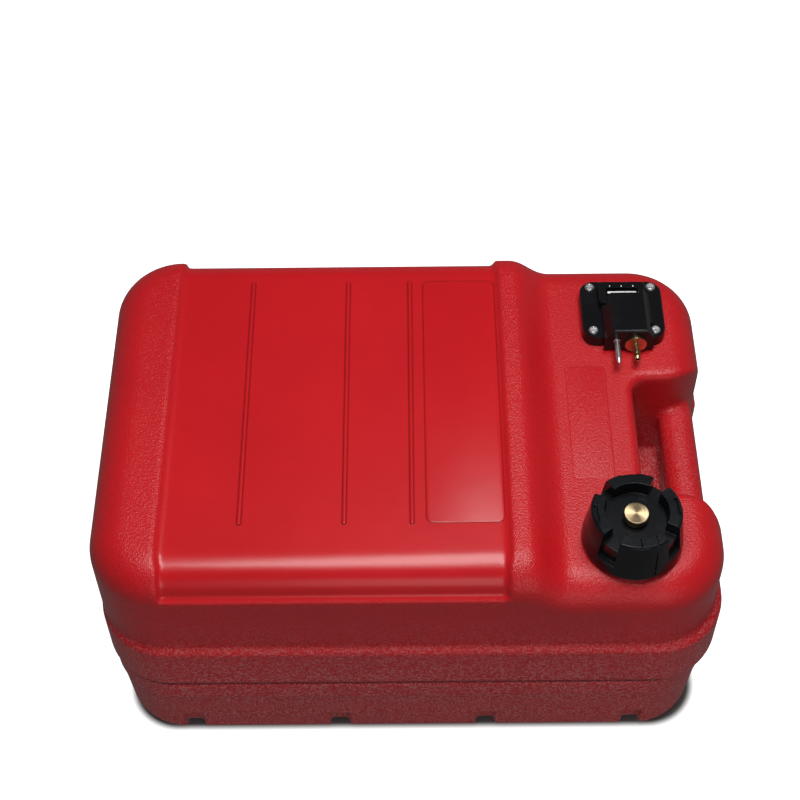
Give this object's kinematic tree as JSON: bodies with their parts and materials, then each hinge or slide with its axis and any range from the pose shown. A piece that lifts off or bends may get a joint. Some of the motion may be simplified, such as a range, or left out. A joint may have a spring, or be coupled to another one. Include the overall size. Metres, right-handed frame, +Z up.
{
  "type": "outboard fuel tank",
  "caption": "Portable blow-moulded fuel tank with handle bar, vented screw cap, level gauge and hose connector.",
  "frame": {"origin": "on the floor, under the middle of the tank's length and width", "axes": "+Z up, +X towards the handle end, -Y towards the long side beside the filler cap"},
  "size_m": [0.509, 0.353, 0.2676],
  "materials": {
    "red_polyethylene": "satin blow-moulded polyethylene with a fine grain",
    "black_cap_plastic": "satin moulded plastic",
    "black_head_plastic": "satin moulded plastic",
    "black_rubber": "matt rubber",
    "brass": "turned brass",
    "plated_steel": "bright plated steel",
    "plain_steel": "drawn stainless steel",
    "clear_plastic": "clear moulded plastic",
    "white_plastic": "plain moulded plastic",
    "float_foam": "fine closed-cell foam"
  },
  "bodies": {
    "tank": {"tank_body": "red_polyethylene", "meter_gasket": "black_rubber", "meter_body": "black_head_plastic", "meter_screws": "plated_steel", "screw_inserts": "brass", "gauge_window": "clear_plastic", "float_pivot": "plain_steel", "pickup_tube": "black_cap_plastic", "tube_seal": "black_rubber", "pickup_strainer": "white_plastic", "fuel_prong": "brass", "prong_seal": "black_rubber", "guide_pin": "plain_steel"},
    "cap_seal": {"cap_gasket": "black_rubber"},
    "cap": {"cap_shell": "black_cap_plastic", "cap_liner": "black_cap_plastic", "vent_bush": "brass"},
    "vent_ring": {"vent_seal": "black_rubber"},
    "vent_screw": {"vent_knob": "brass"},
    "gauge": {"gauge_drum": "white_plastic", "float_arm": "plain_steel", "float": "float_foam"}
  },
  "joints": [
    {"name": "cap_lift", "type": "slide", "parent": "tank", "child": "cap_seal", "axis": [0, 0, 1], "range_m": [0, 0.02]},
    {"name": "cap_turn", "type": "hinge", "parent": "cap_seal", "child": "cap", "pos_m": [0.172, -0.1215, 0.24], "axis": [0, 0, 1], "range_deg": [0, 900]},
    {"name": "vent_lift", "type": "slide", "parent": "cap", "child": "vent_ring", "axis": [0, 0, 1], "range_m": [0, 0.0015]},
    {"name": "vent_turn", "type": "hinge", "parent": "vent_ring", "child": "vent_screw", "pos_m": [0.172, -0.1215, 0.26], "axis": [0, 0, 1], "range_deg": [0, 540]},
    {"name": "gauge_swing", "type": "hinge", "parent": "tank", "child": "gauge", "pos_m": [0.1825, 0.1155, 0.2313], "axis": [0, 1, 0], "range_deg": [0, 67.5]}
  ],
  "couplings": [
    {"joint": "cap_turn", "follows": "cap_lift", "rad_per_m": 785.39},
    {"joint": "vent_turn", "follows": "vent_lift", "rad_per_m": 6283.1}
  ]
}
